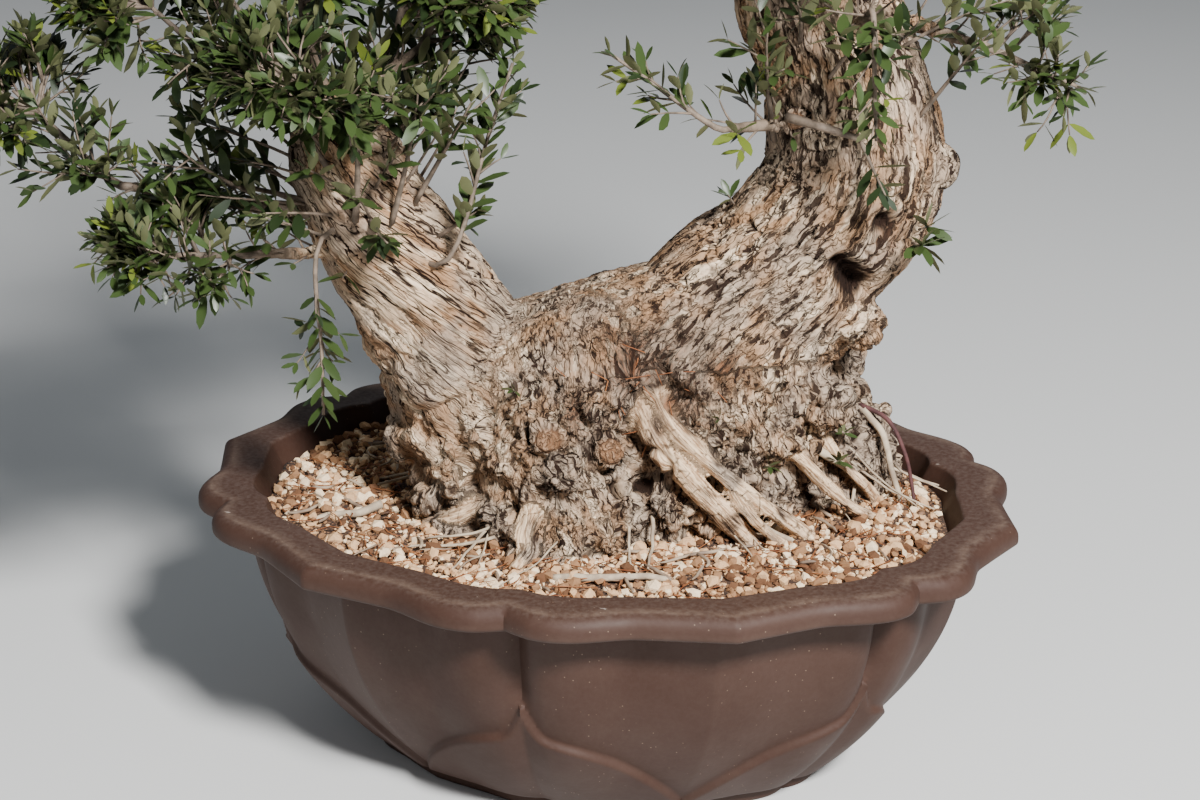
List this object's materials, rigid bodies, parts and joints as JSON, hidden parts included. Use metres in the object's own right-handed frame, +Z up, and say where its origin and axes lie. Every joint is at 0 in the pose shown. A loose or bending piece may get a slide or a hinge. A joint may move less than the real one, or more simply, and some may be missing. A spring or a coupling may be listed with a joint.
{
  "type": "olive bonsai in a pot",
  "caption": "Old olive bonsai with a burly base, a trunk that forks into thick limbs and open crowns of narrow leaves, in a large lobed oval stoneware pot filled with gravelly soil.",
  "frame": {"origin": "the middle of the pot's flat underside, on the ground", "axes": "+X along the pot's long side, +Y towards the back of the pot as pictured, +Z up"},
  "size_m": [1.2003, 0.735, 1.3779],
  "materials": {
    "pot": "matte unglazed brown stoneware",
    "soil": "dry coarse grit",
    "bark": "rough fissured bark",
    "bough": "young grey bark",
    "foliage": "leathery leaves with a soft shine"
  },
  "bodies": {
    "root": {"pot": "pot", "soil": "soil", "trunk": "bark", "left_limb": "bark", "right_limb": "bark", "bough_left_back": "bough", "bough_left_back_inner": "bough", "bough_left_front": "bough", "bough_left_high": "bough", "bough_left_inner": "bough", "bough_left_low": "bough", "bough_left_outer": "bough", "bough_left_top": "bough", "bough_right_back": "bough", "bough_right_breast": "bough", "bough_right_front": "bough", "bough_right_leader": "bough", "bough_right_left": "bough", "bough_right_left_low": "bough", "bough_right_right": "bough", "bough_right_right_low": "bough", "bough_right_shoulder": "bough", "bough_right_stub": "bough", "foliage_left_back": "foliage", "foliage_left_back_inner": "foliage", "foliage_left_front": "foliage", "foliage_left_hanging": "foliage", "foliage_left_high": "foliage", "foliage_left_inner": "foliage", "foliage_left_low": "foliage", "foliage_left_outer": "foliage", "foliage_left_top": "foliage", "foliage_left_upright": "foliage", "foliage_right_back": "foliage", "foliage_right_breast": "foliage", "foliage_right_front": "foliage", "foliage_right_leader": "foliage", "foliage_right_left": "foliage", "foliage_right_left_low": "foliage", "foliage_right_right": "foliage", "foliage_right_right_low": "foliage", "foliage_right_shoulder": "foliage", "foliage_right_stub": "foliage"}
  },
  "joints": []
}
